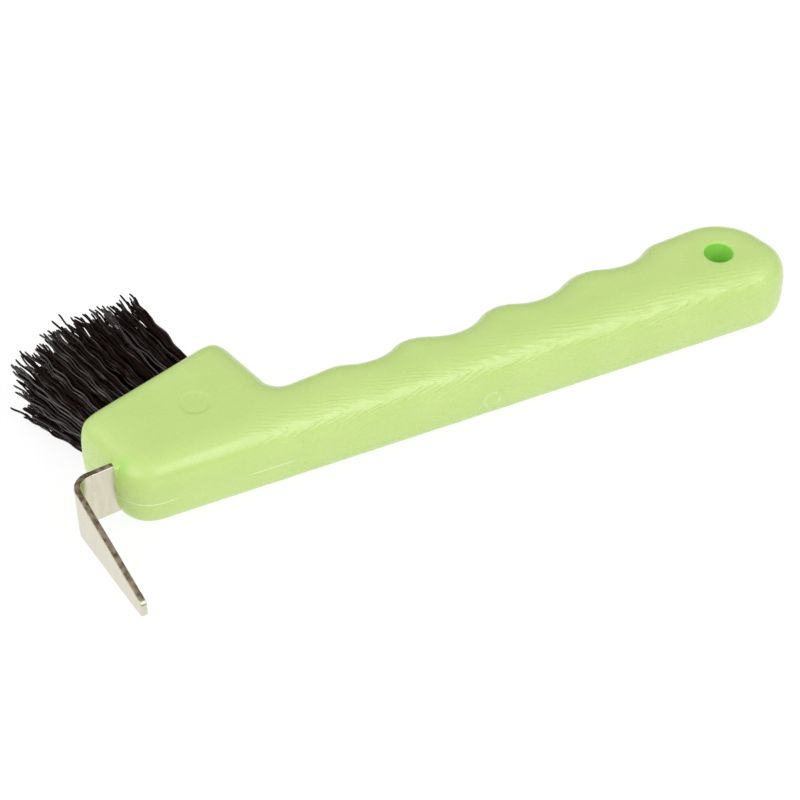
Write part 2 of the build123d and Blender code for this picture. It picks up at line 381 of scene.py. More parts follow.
def surface_nets(field, axes):
    """Quad mesh of a field's zero surface on a rectilinear grid, negative inside."""
    inside = field < 0
    corners = list(itertools.product((0, 1), repeat=3))
    shape = [n - 1 for n in field.shape]
    count = sum(
        inside[i : i + shape[0], j : j + shape[1], k : k + shape[2]].astype(np.int8)
        for i, j, k in corners
    )
    cells = np.argwhere((count > 0) & (count < len(corners)))
    number = np.full(shape, -1)
    number[tuple(cells.T)] = np.arange(len(cells))
    values = np.stack([field[tuple((cells + corner).T)] for corner in corners], axis=1)
    low = np.stack([axes[k][cells[:, k]] for k in range(3)], axis=1)
    size = np.stack([axes[k][cells[:, k] + 1] for k in range(3)], axis=1) - low
    total = np.zeros((len(cells), 3))
    hits = np.zeros((len(cells), 1))
    for a, b in itertools.combinations(range(len(corners)), 2):
        start = np.array(corners[a])
        end = np.array(corners[b])
        if np.abs(end - start).sum() != 1:
            continue
        crossed = (values[:, a] < 0) != (values[:, b] < 0)
        share = values[crossed, a] / (values[crossed, a] - values[crossed, b])
        total[crossed] += start + share[:, None] * (end - start)
        hits[crossed] += 1
    place = total / hits
    for _ in range(PROJECTIONS):
        height = np.zeros(len(cells))
        slope = np.zeros((len(cells), 3))
        for index, corner in enumerate(corners):
            sides = np.where(corner, place, 1 - place)
            height += values[:, index] * sides.prod(axis=1)
            for k in range(3):
                others = sides[:, [m for m in range(3) if m != k]].prod(axis=1)
                slope[:, k] += values[:, index] * others * (1 if corner[k] else -1) / size[:, k]
        step = height / np.maximum((slope**2).sum(axis=1), LEAST_SLOPE)
        place = np.clip(place - step[:, None] * slope / size, 0, 1)
    faces = []
    for k in range(3):
        second = (k + 1) % 3
        third = (k + 2) % 3
        edge = np.argwhere(np.diff(inside, axis=k))
        edge = edge[(edge[:, second] > 0) & (edge[:, third] > 0)]
        left = np.eye(3, dtype=int)[second]
        down = np.eye(3, dtype=int)[third]
        ring = [edge - left - down, edge - down, edge, edge - left]
        quads = np.stack([number[tuple(cell.T)] for cell in ring], axis=1)
        outwards = inside[tuple(edge.T)]
        faces.append(np.where(outwards[:, None], quads, quads[:, ::-1]))
    return low + place * size, np.concatenate(faces)


# The grain is a row of arches along the rounded long edges of the grip. handle_relief() presses
# it into the mesh, and green_plastic() draws it finer.
GRIP_WIDTH = 17.6  # at the neck
GRIP_WIDENING = 0.075  # for each millimetre towards the tail
GRAIN_ALONG = 0.27  # arches for each millimetre along the grip
GRAIN_STRETCH = 0.078  # half of what that loses past the turn
GRAIN_TURN = 115.0  # X where the arches begin to draw out
GRAIN_BEND = 20.0  # how softly they begin to
GRAIN_ACROSS = 1.08  # lines for each millimetre away from the ridge
GRAIN_APEX = 0.6  # how blunt an arch is on the ridge
GRAIN_NEAR_SIDE = (7, 12)  # Y where the grain fades out
RELIEF_WARP = 0.8
RELIEF_WARP_LENGTHS = (9, 2.5)
RELIEF_ARCHES = 3  # arches of the fine grain to one swell of the mesh
RELIEF_DEPTH = 0.012
RELIEF_START = (34, 42)
RELIEF_END = (174, 166)
RELIEF_RIDGE = (6.5, 3.0)
SEAM_HEIGHT = 0.1
SEAM_WIDTH = 0.16
SEAM_CORNER = (22, 17)  # X where the seam of the front corner fades out
SEAM_GRIP = ((33, 37), (47, 43))  # X where the grip's stretch of seam fades in and out
GATE_RADIUS = 2.0
GATE_HEIGHT = 0.09
GATE_WIDTH = 0.25
GATE_DEPTH = 3  # Y up to which the gate's ring is raised
MARK_EDGE = 0.3


def grain_across(x, y, z):
    """How far a surface point is from the ridge of the nearest rounded long edge."""
    width = GRIP_WIDTH + GRIP_WIDENING * (x - NECK[0])
    height = MIDDLE + np.abs(z - MIDDLE)
    from_edge = np.minimum(y, width - y)
    return (from_edge + height - THICKNESS) / math.sqrt(2)


def grain_phase(x, across):
    """Count of arches, which point to the head and are drawn out towards the tail."""
    stretch = x - GRAIN_TURN
    along = GRAIN_ALONG * x - GRAIN_STRETCH * (stretch + np.hypot(stretch, GRAIN_BEND))
    return along + GRAIN_ACROSS * np.hypot(across, GRAIN_APEX)


def handle_relief(points, normals):
    """How far the moulded surface stands out of the plain shape at each point."""
    x, y, z = points.T
    beside = 1 - np.abs(normals[:, 2])
    across = grain_across(x, y, z)
    along, aside = RELIEF_WARP_LENGTHS
    warp = RELIEF_WARP * lattice_noise(x / along, across / aside + 20, seed=3)
    rings = np.cos(2 * math.pi * (grain_phase(x, across) + warp) / RELIEF_ARCHES)
    grip = smooth_step(*RELIEF_START, x) * smooth_step(*RELIEF_END, x)
    ridge = smooth_step(*RELIEF_RIDGE, np.abs(across))
    near_side = smooth_step(*GRAIN_NEAR_SIDE[::-1], y)
    relief = RELIEF_DEPTH * rings * grip * ridge * near_side
    line = np.exp(-(((z - PARTING_HEIGHT) / SEAM_WIDTH) ** 2)) * smooth_step(0.5, 0.8, beside)
    fade_in, fade_out = SEAM_GRIP
    seen = 0.5 + smooth_step(*SEAM_CORNER, x) + smooth_step(*fade_in, x) * smooth_step(*fade_out, x)
    relief = relief + SEAM_HEIGHT * line * seen
    gate = np.hypot(x - GATE[0], z - GATE[1])
    ring = np.exp(-(((gate - GATE_RADIUS) / GATE_WIDTH) ** 2))
    relief += GATE_HEIGHT * ring * (y < GATE_DEPTH)
    mark = np.hypot(x - MARK_CENTRE[0], y - MARK_CENTRE[1])
    pressed = smooth_step(MARK_RADIUS + MARK_EDGE, MARK_RADIUS - MARK_EDGE, mark)
    relief -= MARK_DEPTH * pressed * (z > MIDDLE)
    return relief


def skin_faces(around, rings):
    """Faces of a closed skin over rings of points, with a cap at each end."""
    faces = []
    for ring in range(rings - 1):
        for k in range(around):
            a = ring * around + k
            b = ring * around + (k + 1) % around
            faces.append((a, b, b + around, a + around))
    faces.append(tuple(range(around))[::-1])
    faces.append(tuple(range((rings - 1) * around, rings * around)))
    return faces


def cylinder(name, points, radius, sides=24):
    """Closed prism of round section between two points of the plan frame."""
    start, end = (np.asarray(point, float) for point in points)
    axis = (end - start) / np.linalg.norm(end - start)
    side = np.cross(axis, (0, 0, 1) if abs(axis[2]) < 0.9 else (1, 0, 0))
    side /= np.linalg.norm(side)
    other = np.cross(axis, side)
    angles = np.linspace(0, 2 * math.pi, sides, endpoint=False)
    ring = radius * (np.cos(angles)[:, None] * side + np.sin(angles)[:, None] * other)
    faces = [(i, (i + 1) % sides, sides + (i + 1) % sides, sides + i) for i in range(sides)]
    faces += [tuple(range(sides))[::-1], tuple(range(sides, 2 * sides))]
    return add_mesh(name, np.concatenate([start + ring, end + ring]), faces, smooth=False)


def combine(piece, cutters, operation):
    """Subtracts closed meshes from a piece, or adds them to it, and removes them."""
    collection = bpy.data.collections.new("cutters")
    for cutter in cutters:
        bpy.context.scene.collection.objects.unlink(cutter)
        collection.objects.link(cutter)
    change = piece.modifiers.new("cut", "BOOLEAN")
    change.operation = operation
    change.solver = "EXACT"
    change.operand_type = "COLLECTION"
    change.collection = collection
    depsgraph = bpy.context.evaluated_depsgraph_get()
    result = bpy.data.meshes.new_from_object(piece.evaluated_get(depsgraph), depsgraph=depsgraph)
    piece.modifiers.clear()
    piece.data = result
    for cutter in cutters:
        bpy.data.objects.remove(cutter)
    bpy.data.collections.remove(collection)


def tuft_base(column, row):
    """Along the brush face and height of a tuft's hole."""
    middle = FIRST_COLUMN + (TUFT_COLUMNS - 1) / 2 * COLUMN_PITCH
    along = middle + (column - (TUFT_COLUMNS - 1) / 2) * COLUMN_PITCH
    return along, MIDDLE - (row - (TUFT_ROWS - 1) / 2) * ROW_PITCH


def brush_point(along, height, out):
    """Point of the plan frame from its place over the brush face."""
    return np.array((*plan_point(FRONT_FAR_CORNER, HEAD_TILT, along, out), height))


def make_collar():
    """Low block round the strap where it goes into the head."""
    half_height = STRAP_WIDTH / 2
    points = []
    for along, inset in ((0, COLLAR_BEVEL), (COLLAR_BEVEL, 0), (COLLAR_DEPTH, 0)):
        low = -STRAP_THICKNESS - COLLAR_MARGIN + inset
        high = COLLAR_MARGIN - inset
        top = half_height - inset
        corners = [(low, -top), (high, -top), (high, top), (low, top)]
        section = rounded_outline(corners, (COLLAR_CORNER_RADIUS,) * len(corners), step=0.2)
        for across, height in section:
            forward = along * math.cos(COLLAR_LEAN) - height * math.sin(COLLAR_LEAN)
            place = plan_point(HOOK_CORNER, HOOK_TILT, STRAP_REACH + forward, across)
            upward = along * math.sin(COLLAR_LEAN) + height * math.cos(COLLAR_LEAN)
            points.append((*place, MIDDLE + upward))
    return add_mesh("collar", points, skin_faces(len(points) // 3, 3), smooth=False)


def make_handle(hook):
    """The moulding with its relief, the collar, the tuft holes and a slot for the hook's tang."""
    x, y = np.meshgrid(GRID[0], GRID[1], indexing="ij")
    field = handle_distance(x[..., None], y[..., None], GRID[2])
    points, faces = surface_nets(field, GRID)
    plain = add_mesh("plain", points, faces)
    normals = np.zeros(3 * len(points))
    plain.data.vertices.foreach_get("normal", normals)
    normals = normals.reshape(-1, 3)
    bpy.data.objects.remove(plain)
    points = points + normals * handle_relief(points, normals)[:, None]
    handle = add_mesh("grip_moulding", points, faces)
    cutters = []
    for column in range(TUFT_COLUMNS):
        for row in range(TUFT_ROWS):
            along, height = tuft_base(column, row)
            ends = brush_point(along, height, -TUFT_DEPTH), brush_point(along, height, 2.0)
            cutters.append(cylinder("bore", ends, TUFT_RADIUS))
    combine(handle, [make_collar()], "UNION")
    tang = bpy.data.objects.new("tang", hook.data.copy())
    bpy.context.scene.collection.objects.link(tang)
    combine(handle, [*cutters, tang], "DIFFERENCE")
    handle.data.set_sharp_from_angle(angle=math.radians(35))
    return handle


# ---- hook ----
BEND_STATIONS = 15
TIP_STATIONS = 7


def strap_stations(step=0.45):
    """Middle line of the strap from the tang's end to the tip: place, direction and distance."""
    bend = BEND_INNER_RADIUS + STRAP_THICKNESS / 2
    outer = BEND_INNER_RADIUS + STRAP_THICKNESS
    tang_end = STRAP_REACH + TANG_LENGTH
    stations = []
    for along in np.arange(tang_end, outer, -2 * step):
        stations.append(((along, -STRAP_THICKNESS / 2), (-1, 0)))
    for angle in np.linspace(0, math.pi / 2, BEND_STATIONS):
        place = (outer - bend * math.sin(angle), -outer + bend * math.cos(angle))
        stations.append((place, (-math.cos(angle), -math.sin(angle))))
    last = ARM_LENGTH - TIP_CORNER_RADIUS
    for along in np.linspace(outer, last, round((last - outer) / step))[1:]:
        stations.append(((STRAP_THICKNESS / 2, -along), (0, -1)))
    for angle in np.linspace(0, math.pi / 2, TIP_STATIONS)[1:]:
        along = last + TIP_CORNER_RADIUS * math.sin(angle)
        stations.append(((STRAP_THICKNESS / 2, -along), (0, -1)))
    return stations


def strap_half_width(along_arm):
    """Half the strap's width at a distance down the arm from the hook's corner."""
    taper = (along_arm - TAPER_START) / (ARM_LENGTH - TAPER_START)
    half = STRAP_WIDTH / 2 + min(max(taper, 0), 1) * (TIP_WIDTH - STRAP_WIDTH) / 2
    past = along_arm - (ARM_LENGTH - TIP_CORNER_RADIUS)
    if past > 0:
        half -= TIP_CORNER_RADIUS - math.sqrt(max(TIP_CORNER_RADIUS**2 - past**2, 0))
    return half


def strap_section(half_width, half_thickness, radius, across=14, corner=4):
    """Closed rounded rectangle: the same number of points for every width."""
    turns = np.linspace(0, math.pi / 2, corner)
    section = []
    for quarter in range(4):
        sign_w = (1, -1, -1, 1)[quarter]
        sign_t = (1, 1, -1, -1)[quarter]
        for turn in turns:
            angle = turn + quarter * math.pi / 2
            section.append(
                (
                    sign_w * (half_width - radius) + radius * math.cos(angle),
                    sign_t * (half_thickness - radius) + radius * math.sin(angle),
                )
            )
        if quarter in (0, 2):
            start = np.array(section[-1])
            end = np.array((-start[0], start[1]))
            shares = np.linspace(0, 1, across + 1)[1:-1]
            section += [tuple(start + share * (end - start)) for share in shares]
    return np.array(section)


def make_hook():
    """The bent strap as one skin over its sections, with nicks in its sheared edges."""
    points = []
    rings = 0
    travelled = 0.0
    last_place = None
    for place, heading in strap_stations():
        if last_place is not None:
            travelled += math.dist(place, last_place)
        last_place = place
        at_tip = max(-place[1] - (ARM_LENGTH - TIP_BEVEL_LENGTH), 0)
        half_width = strap_half_width(-place[1])
        half_thickness = STRAP_THICKNESS / 2 - TIP_BEVEL_SLOPE * at_tip
        section = strap_section(half_width, half_thickness, SHEARED_EDGE_RADIUS)
        widths = section[:, 0]
        inner, outer = (half_width - band for band in SHEARED_BAND)
        edge = smooth_step(inner, outer, np.abs(widths))
        edge_place = travelled / NICK_LENGTH + EDGE_OFFSET * np.sign(widths)
        chip = lattice_noise(edge_place, section[:, 1] / NICK_HEIGHT, seed=8)
        nick = NICK_DEPTH * smooth_step(*NICK_LEVELS, chip) * edge
        wave = lattice_noise(travelled / ARM_WAVE_LENGTH, widths / ARM_WAVE_LENGTH, seed=9)
        wave = ARM_WAVE * wave * (place[1] < ARM_WAVE_START)
        side = np.array((heading[1], -heading[0]))
        for (across, through), bite, lift in zip(section, nick, wave):
            spread = across - math.copysign(bite, across)
            thinned = through * (1 - NICK_THINNING * bite)
            plan = np.array(place) - side * (thinned + lift)
            points.append((*plan_point(HOOK_CORNER, HOOK_TILT, *plan), MIDDLE + spread))
        rings += 1
    return add_mesh("steel_hook", points, skin_faces(len(points) // rings, rings))


def through_tang(place, height):
    """The two ends of a cut straight through the tang, at a distance from the collar's face."""
    return [
        (*plan_point(HOOK_CORNER, HOOK_TILT, STRAP_REACH + place, side), height)
        for side in (-3 * STRAP_THICKNESS, 3 * STRAP_THICKNESS)
    ]


def pierce_tang(hook):
    """Two holes and two notches that lock the tang in the moulding."""
    cutters = []
    for place in TANG_HOLE_PLACES:
        cutters.append(cylinder("tang_hole", through_tang(place, MIDDLE), TANG_HOLE_RADIUS))
    for height in (MIDDLE - STRAP_WIDTH / 2, MIDDLE + STRAP_WIDTH / 2):
        ends = through_tang(TANG_NOTCH_PLACE, height)
        cutters.append(cylinder("tang_notch", ends, TANG_NOTCH_RADIUS))
    combine(hook, cutters, "DIFFERENCE")
    hook.data.set_sharp_from_angle(angle=math.radians(40))


# ---- brush ----
def bristle_path(column, row, spot, wave):
    """Middle line of one crimped bristle, from inside its hole to its tip."""
    wave_length, phase, plane = wave
    along, height = tuft_base(column, row)
    off_column = column - (TUFT_COLUMNS - 1) / 2
    off_row = row - (TUFT_ROWS - 1) / 2
    brush_middle = along - off_column * COLUMN_PITCH
    length = BRISTLE_LENGTH + BRISTLE_CROWN * (1 - (2 * off_column / (TUFT_COLUMNS - 1)) ** 2)
    length += draws.normal(*LENGTH_JITTER)
    base = np.array((along, height)) + spot * (TUFT_RADIUS - BRISTLE_RADIUS)
    tip = np.array(
        (
            brush_middle + off_column * TIP_COLUMN_PITCH,
            MIDDLE - off_row * TIP_ROW_PITCH,
        )
    )
    tip += spot * TUFT_TIP_RADIUS + draws.normal(0, TIP_JITTER, 2)
    root = [-TUFT_DEPTH * BRISTLE_ROOT[0], -BRISTLE_ROOT[1]]
    out = np.concatenate([root, np.linspace(0, length, BRISTLE_STATIONS)])
    share = np.clip(out / length, 0, None)
    lean = share**LEAN_POWER
    crimp = draws.uniform(*CRIMP_SIZES) * np.clip(share * CRIMP_START, 0, 1)
    phase += draws.normal(0, PHASE_JITTER)
    plane += draws.normal(0, PLANE_JITTER)
    swing = crimp * np.sin(2 * math.pi * out / wave_length + phase)
    bow = draws.normal(0, BOW_JITTER) * np.sin(math.pi * share)
    places = base[0] + lean * (tip[0] - base[0]) + swing * math.cos(plane) + bow
    heights = base[1] + lean * (tip[1] - base[1]) + swing * math.sin(plane)
    heights = np.clip(heights, BRISTLE_RADIUS + FLOOR_GAP, THICKNESS + RISE_ABOVE)
    return np.stack([places, heights, out], axis=1)


def bristle_tube(path, sides=6):
    """Skin of one bristle: rings square to its line, a slight taper and a closed tip."""
    tangent = np.gradient(path, axis=0)
    tangent /= np.linalg.norm(tangent, axis=1)[:, None]
    side = np.cross(tangent, (0.3, 1.0, 0.1))
    side /= np.linalg.norm(side, axis=1)[:, None]
    other = np.cross(tangent, side)
    radius = BRISTLE_RADIUS * np.linspace(1, TIP_TAPER, len(path))
    radius[-1] *= TIP_ROUNDING
    angles = np.linspace(0, 2 * math.pi, sides, endpoint=False)
    rings = [
        path + radius[:, None] * (math.cos(angle) * side + math.sin(angle) * other)
        for angle in angles
    ]
    points = np.stack(rings, axis=1).reshape(-1, 3)
    return points, skin_faces(sides, len(path))


def make_tuft(column, row):
    """One tuft of bristles as one mesh."""
    points = []
    faces = []
    shine = []
    count = 0
    golden = math.pi * (3 - math.sqrt(5))
    wave = (
        draws.uniform(*CRIMP_WAVE_LENGTHS),
        draws.uniform(0, 2 * math.pi),
        draws.uniform(*CRIMP_PLANES),
    )
    for index in range(BRISTLES_PER_TUFT):
        reach = math.sqrt((index + 0.5) / BRISTLES_PER_TUFT)
        spot = reach * np.array((math.cos(index * golden), math.sin(index * golden)))
        skin, tube_faces = bristle_tube(bristle_path(column, row, spot, wave))
        points.append(skin)
        shine += [draws.uniform()] * len(skin)
        faces += [tuple(k + count for k in face) for face in tube_faces]
        count += len(skin)
    along, height, out = np.concatenate(points).T
    plan = plan_point(FRONT_FAR_CORNER, HEAD_TILT, along, out)
    name = f"bristles_c{column + 1}_r{row + 1}"
    tuft = add_mesh(name, np.stack([*plan, height], axis=1), faces)
    tuft.data.attributes.new("shine", "FLOAT", "POINT").data.foreach_set("value", shine)
    return tuft


# ---- materials ----
class Finish:
    """A node material that is built up call by call."""

    def __init__(self, name, **values):
        self.material = bpy.data.materials.new(name)
        self.material.use_nodes = True
        self.tree = self.material.node_tree
        self.shader = self.tree.nodes["Principled BSDF"]
        for socket, value in values.items():
            self.shader.inputs[socket.replace("_", " ")].default_value = value

    def node(self, kind, **settings):
        made = self.tree.nodes.new(kind)
        for key, value in settings.items():
            setattr(made, key, value)
        return made

    def connect(self, source, target):
        if isinstance(source, (int, float)):
            target.default_value = source
        else:
            self.tree.links.new(source, target)

    def math(self, operation, first, second=0.0, third=0.0):
        made = self.node("ShaderNodeMath", operation=operation)
        for socket, value in zip(made.inputs, (first, second, third)):
            self.connect(value, socket)
        return made.outputs[0]

    def coordinates(self):
        """X, Y and Z of the plan frame, in millimetres."""
        place = self.node("ShaderNodeTexCoord").outputs["Object"]
        moved = self.node("ShaderNodeVectorMath", operation="MULTIPLY_ADD")
        self.connect(place, moved.inputs[0])
        moved.inputs[1].default_value = (1000, 1000, 1000)
        moved.inputs[2].default_value = tuple(-PLAN_ORIGIN)
        split = self.node("ShaderNodeSeparateXYZ")
        self.connect(moved.outputs[0], split.inputs[0])
        return moved.outputs[0], split.outputs

    def noise(self, place, scale, detail=2.0, roughness=0.5):
        """Noise about 0.5; scale is features in a millimetre, alone or for each axis."""
        stretched = self.node("ShaderNodeVectorMath", operation="MULTIPLY")
        self.connect(place, stretched.inputs[0])
        stretched.inputs[1].default_value = scale if isinstance(scale, tuple) else (scale,) * 3
        made = self.node("ShaderNodeTexNoise")
        self.connect(stretched.outputs[0], made.inputs["Vector"])
        made.inputs["Scale"].default_value = 1.0
        made.inputs["Detail"].default_value = detail
        made.inputs["Roughness"].default_value = roughness
        return made.outputs["Fac"]

    def remap(self, value, low, high, to_low, to_high):
        made = self.node("ShaderNodeMapRange", interpolation_type="SMOOTHSTEP")
        for socket, number in zip(made.inputs, (value, low, high, to_low, to_high)):
            self.connect(number, socket)
        return made.outputs[0]

    def mix(self, share, first, second):
        made = self.node("ShaderNodeMix", data_type="RGBA")
        self.connect(share, made.inputs["Factor"])
        for name, colour in (("A", first), ("B", second)):
            socket = next(i for i in made.inputs if i.name == name and i.type == "RGBA")
            if isinstance(colour, tuple):
                socket.default_value = (*colour, 1)
            else:
                self.connect(colour, socket)
        return next(o for o in made.outputs if o.type == "RGBA")

    def distance(self, first, second, centre):
        """Distance from a centre in the plane of two coordinates."""
        first = self.math("SUBTRACT", first, centre[0])
        second = self.math("SUBTRACT", second, centre[1])
        square = self.math("MULTIPLY_ADD", first, first, self.math("MULTIPLY", second, second))
        return self.math("SQRT", square)

    def near(self, first, second, centre, reach, fade):
        """1 within reach of a centre, falling to 0 over the fade."""
        return self.remap(self.distance(first, second, centre), reach, reach + fade, 1.0, 0.0)

    def bump(self, height, depth, before=None):
        """A bump of so many millimetres for a height of 1."""
        made = self.node("ShaderNodeBump")
        made.inputs["Distance"].default_value = depth / 1000
        self.connect(height, made.inputs["Height"])
        if before is not None:
            self.connect(before, made.inputs["Normal"])
        return made.outputs[0]

    def drive(self, **sources):
        for socket, source in sources.items():
            self.connect(source, self.shader.inputs[socket.replace("_", " ")])


GREEN = ((0.545, 0.725, 0.232), (0.565, 0.74, 0.25))
# deeper green for the painted shade in the hanging hole and beside the collar
GREEN_PAINTED_SHADE = (0.4, 0.82, 0.14)
# paler green for the painted highlight on the parting line and the gate's ring
GREEN_PAINTED_HIGHLIGHT = (0.76, 0.86, 0.52)
NICKEL = ((0.66, 0.625, 0.485), (0.74, 0.71, 0.585))
# colours of the sheared edges: stains plus a painted dark reflection
SHEARED_STAIN_AND_PAINTED_REFLECTION = ((0.17, 0.13, 0.08), (0.46, 0.38, 0.27))
NICKEL_SPECK = (0.3, 0.27, 0.2)
FILAMENT_BLACK = (0.013, 0.007, 0.0055)
WIRE_GREY = (0.6, 0.59, 0.56)
GRAIN_DEPTH = 0.075
GRAIN_WARP = 3.2
GRAIN_WARP_SCALE = (1 / 14, 1 / 4.5, 1 / 4.5)
GRAIN_BREAK_SCALE = (1 / 5, 1 / 1.6, 1 / 1.6)
GRAIN_START = (33.0, 42.0)
GRAIN_END = (163.0, 174.0)
GRAIN_RIDGE = (2.5, 6.5)
GRAIN_FAR_SHARE = 0.12  # what is left of the grain on the finger side
MARK_BLUR = 0.45
MARK_BUMP = 0.08
# strength of the painted shade beside the collar
COLLAR_SHADE = 0.4


def fine_grain(finish, place, x, y, z):
    """The grain's lines from 0 to 1, faded out away from the near ridge of the grip."""
    height = finish.math("ABSOLUTE", finish.math("SUBTRACT", z, MIDDLE))
    width = finish.math("MULTIPLY_ADD", x, GRIP_WIDENING, GRIP_WIDTH - GRIP_WIDENING * NECK[0])
    from_edge = finish.math("MINIMUM", y, finish.math("SUBTRACT", width, y))
    across = finish.math("ADD", from_edge, finish.math("SUBTRACT", height, MIDDLE))
    across = finish.math("MULTIPLY", across, math.sqrt(0.5))
    stretch = finish.math("SUBTRACT", x, GRAIN_TURN)
    bend = finish.math("SQRT", finish.math("MULTIPLY_ADD", stretch, stretch, GRAIN_BEND**2))
    along = finish.math("MULTIPLY", finish.math("ADD", stretch, bend), -GRAIN_STRETCH)
    along = finish.math("MULTIPLY_ADD", x, GRAIN_ALONG, along)
    arch = finish.math("SQRT", finish.math("MULTIPLY_ADD", across, across, GRAIN_APEX**2))
    phase = finish.math("MULTIPLY_ADD", arch, GRAIN_ACROSS, along)
    warp = finish.noise(place, GRAIN_WARP_SCALE, detail=2.0)
    phase = finish.math("MULTIPLY_ADD", warp, GRAIN_WARP, phase)
    wave = finish.math("SINE", finish.math("MULTIPLY", phase, 2 * math.pi))
    line = finish.remap(wave, -0.6, 1.0, 0.0, 1.0)
    breaks = finish.remap(finish.noise(place, GRAIN_BREAK_SCALE), 0.35, 0.62, 0.15, 1.0)
    line = finish.math("MULTIPLY", line, breaks)
    start = finish.remap(x, *GRAIN_START, 0.0, 1.0)
    end = finish.remap(x, *GRAIN_END, 1.0, 0.0)
    line = finish.math("MULTIPLY", line, finish.math("MULTIPLY", start, end))
    ridge = finish.remap(finish.math("ABSOLUTE", across), *GRAIN_RIDGE, 1.0, 0.0)
    line = finish.math("MULTIPLY", line, ridge)
    near_side = finish.remap(y, *GRAIN_NEAR_SIDE, 1.0, GRAIN_FAR_SHARE)
    return finish.math("MULTIPLY", line, near_side)


def painted_seam_highlights(finish, place, x, y, z):
    """How strongly highlight is painted along the parting line and on the broken ring of the gate,
    from 0 to 1.
    """
    from_line = finish.math("ABSOLUTE", finish.math("SUBTRACT", z, PARTING_HEIGHT))
    seam = finish.remap(from_line, 0.1, 0.3, 1.0, 0.0)
    corner_part = finish.remap(x, 16.0, 20.0, 1.0, 0.0)
    fade_in = finish.remap(x, 34.0, 37.0, 0.0, 1.0)
    fade_out = finish.remap(x, 44.0, 47.0, 1.0, 0.0)
    grip_part = finish.math("MULTIPLY", fade_in, fade_out)
    seam = finish.math("MULTIPLY", seam, finish.math("ADD", corner_part, grip_part))
    seam = finish.math("MULTIPLY", seam, finish.remap(y, 5.0, 7.0, 0.7, 0.0))
    gate = finish.math("SUBTRACT", GATE_RADIUS, finish.distance(x, z, GATE))
    gate = finish.remap(finish.math("ABSOLUTE", gate), 0.1, 0.4, 0.5, 0.0)
    breaks = finish.remap(finish.noise(place, 0.5), 0.42, 0.6, 0.0, 1.0)
    gate = finish.math("MULTIPLY", gate, breaks)
    gate = finish.math("MULTIPLY", gate, finish.remap(y, 2.0, 4.0, 1.0, 0.0))
    return finish.math("MAXIMUM", seam, gate)


def green_plastic():
    """Moulded plastic: grain, the round mark's step, painted shade as a deeper green in the hanging
    hole and beside the collar, painted highlight on the seams.
    """
    finish = Finish("green_plastic", IOR=1.49, Subsurface_Weight=0.12)
    finish.shader.inputs["Subsurface Radius"].default_value = (0.6, 1.0, 0.35)
    finish.shader.inputs["Subsurface Scale"].default_value = 0.002
    place, (x, y, z) = finish.coordinates()
    skin = finish.bump(finish.noise(place, 0.4), 0.006)
    mark = finish.distance(x, y, MARK_CENTRE)
    mark = finish.remap(mark, MARK_RADIUS - MARK_BLUR, MARK_RADIUS + MARK_BLUR, 0.0, 1.0)
    mark = finish.math("MAXIMUM", mark, finish.remap(z, MIDDLE - 1, MIDDLE + 1, 1.0, 0.0))
    skin = finish.bump(mark, MARK_BUMP, skin)
    normal = finish.bump(fine_grain(finish, place, x, y, z), GRAIN_DEPTH, skin)
    patches = finish.remap(finish.noise(place, 0.08), 0.3, 0.7, 0.0, 1.0)
    colour = finish.mix(patches, *GREEN)
    # painted shade: a deeper green inside the hanging hole
    hole_painted_shade = finish.near(x, y, HOLE_CENTRE, HOLE_RADIUS + 0.1, 0.25)
    colour = finish.mix(hole_painted_shade, colour, GREEN_PAINTED_SHADE)
    # painted shade: a deeper green fading out from a point beside the collar
    painted_shade_centre = (STRAP_REACH + 1.5, -STRAP_THICKNESS - COLLAR_MARGIN - 0.4)
    painted_shade_centre = plan_point(HOOK_CORNER, HOOK_TILT, *painted_shade_centre)
    shade = finish.math("MULTIPLY", finish.near(x, y, painted_shade_centre, 0.7, 2.0), COLLAR_SHADE)
    colour = finish.mix(shade, colour, GREEN_PAINTED_SHADE)
    # painted highlight: a paler green along the parting line and the gate's ring
    colour = finish.mix(painted_seam_highlights(finish, place, x, y, z), colour, GREEN_PAINTED_HIGHLIGHT)
    gloss = finish.remap(finish.noise(place, 0.25, detail=4.0), 0.3, 0.7, 0.22, 0.32)
    finish.drive(Base_Color=colour, Roughness=gloss, Normal=normal)
    return finish.material


def nickel_steel():
    """Plated strap; its sheared edges that face up and down are darker, partly stains and partly a
    painted dark reflection.
    """
    finish = Finish("nickel_steel", Metallic=1.0)
    place, _ = finish.coordinates()
    normal = finish.node("ShaderNodeNewGeometry").outputs["Normal"]
    split = finish.node("ShaderNodeSeparateXYZ")
    finish.connect(normal, split.inputs[0])
    upright = finish.math("ABSOLUTE", split.outputs[2])
    sheared = finish.remap(upright, 0.75, 0.95, 0.0, 1.0)
    streaks = finish.noise(place, (0.7, 0.7, 0.12), detail=4.0, roughness=0.6)
    tint = finish.mix(finish.remap(streaks, 0.3, 0.7, 0.0, 1.0), *NICKEL)
    stain = finish.noise(place, 0.55, detail=3.0)
    # sheared edges: stains plus a painted dark reflection
    stain_and_painted_reflection = finish.mix(finish.remap(stain, 0.35, 0.65, 0.0, 1.0), *SHEARED_STAIN_AND_PAINTED_REFLECTION)
    colour = finish.mix(sheared, tint, stain_and_painted_reflection)
    specks = finish.remap(finish.noise(place, 1.9, detail=2.0), 0.66, 0.74, 0.0, 0.35)
    colour = finish.mix(specks, colour, NICKEL_SPECK)
    rough = finish.remap(streaks, 0.3, 0.7, 0.26, 0.36)
    rough = finish.math("MULTIPLY_ADD", sheared, 0.15, rough)
    skin = finish.bump(finish.noise(place, 1.2, detail=4.0), 0.02)
    finish.drive(Base_Color=colour, Roughness=rough, Normal=skin)
    return finish.material


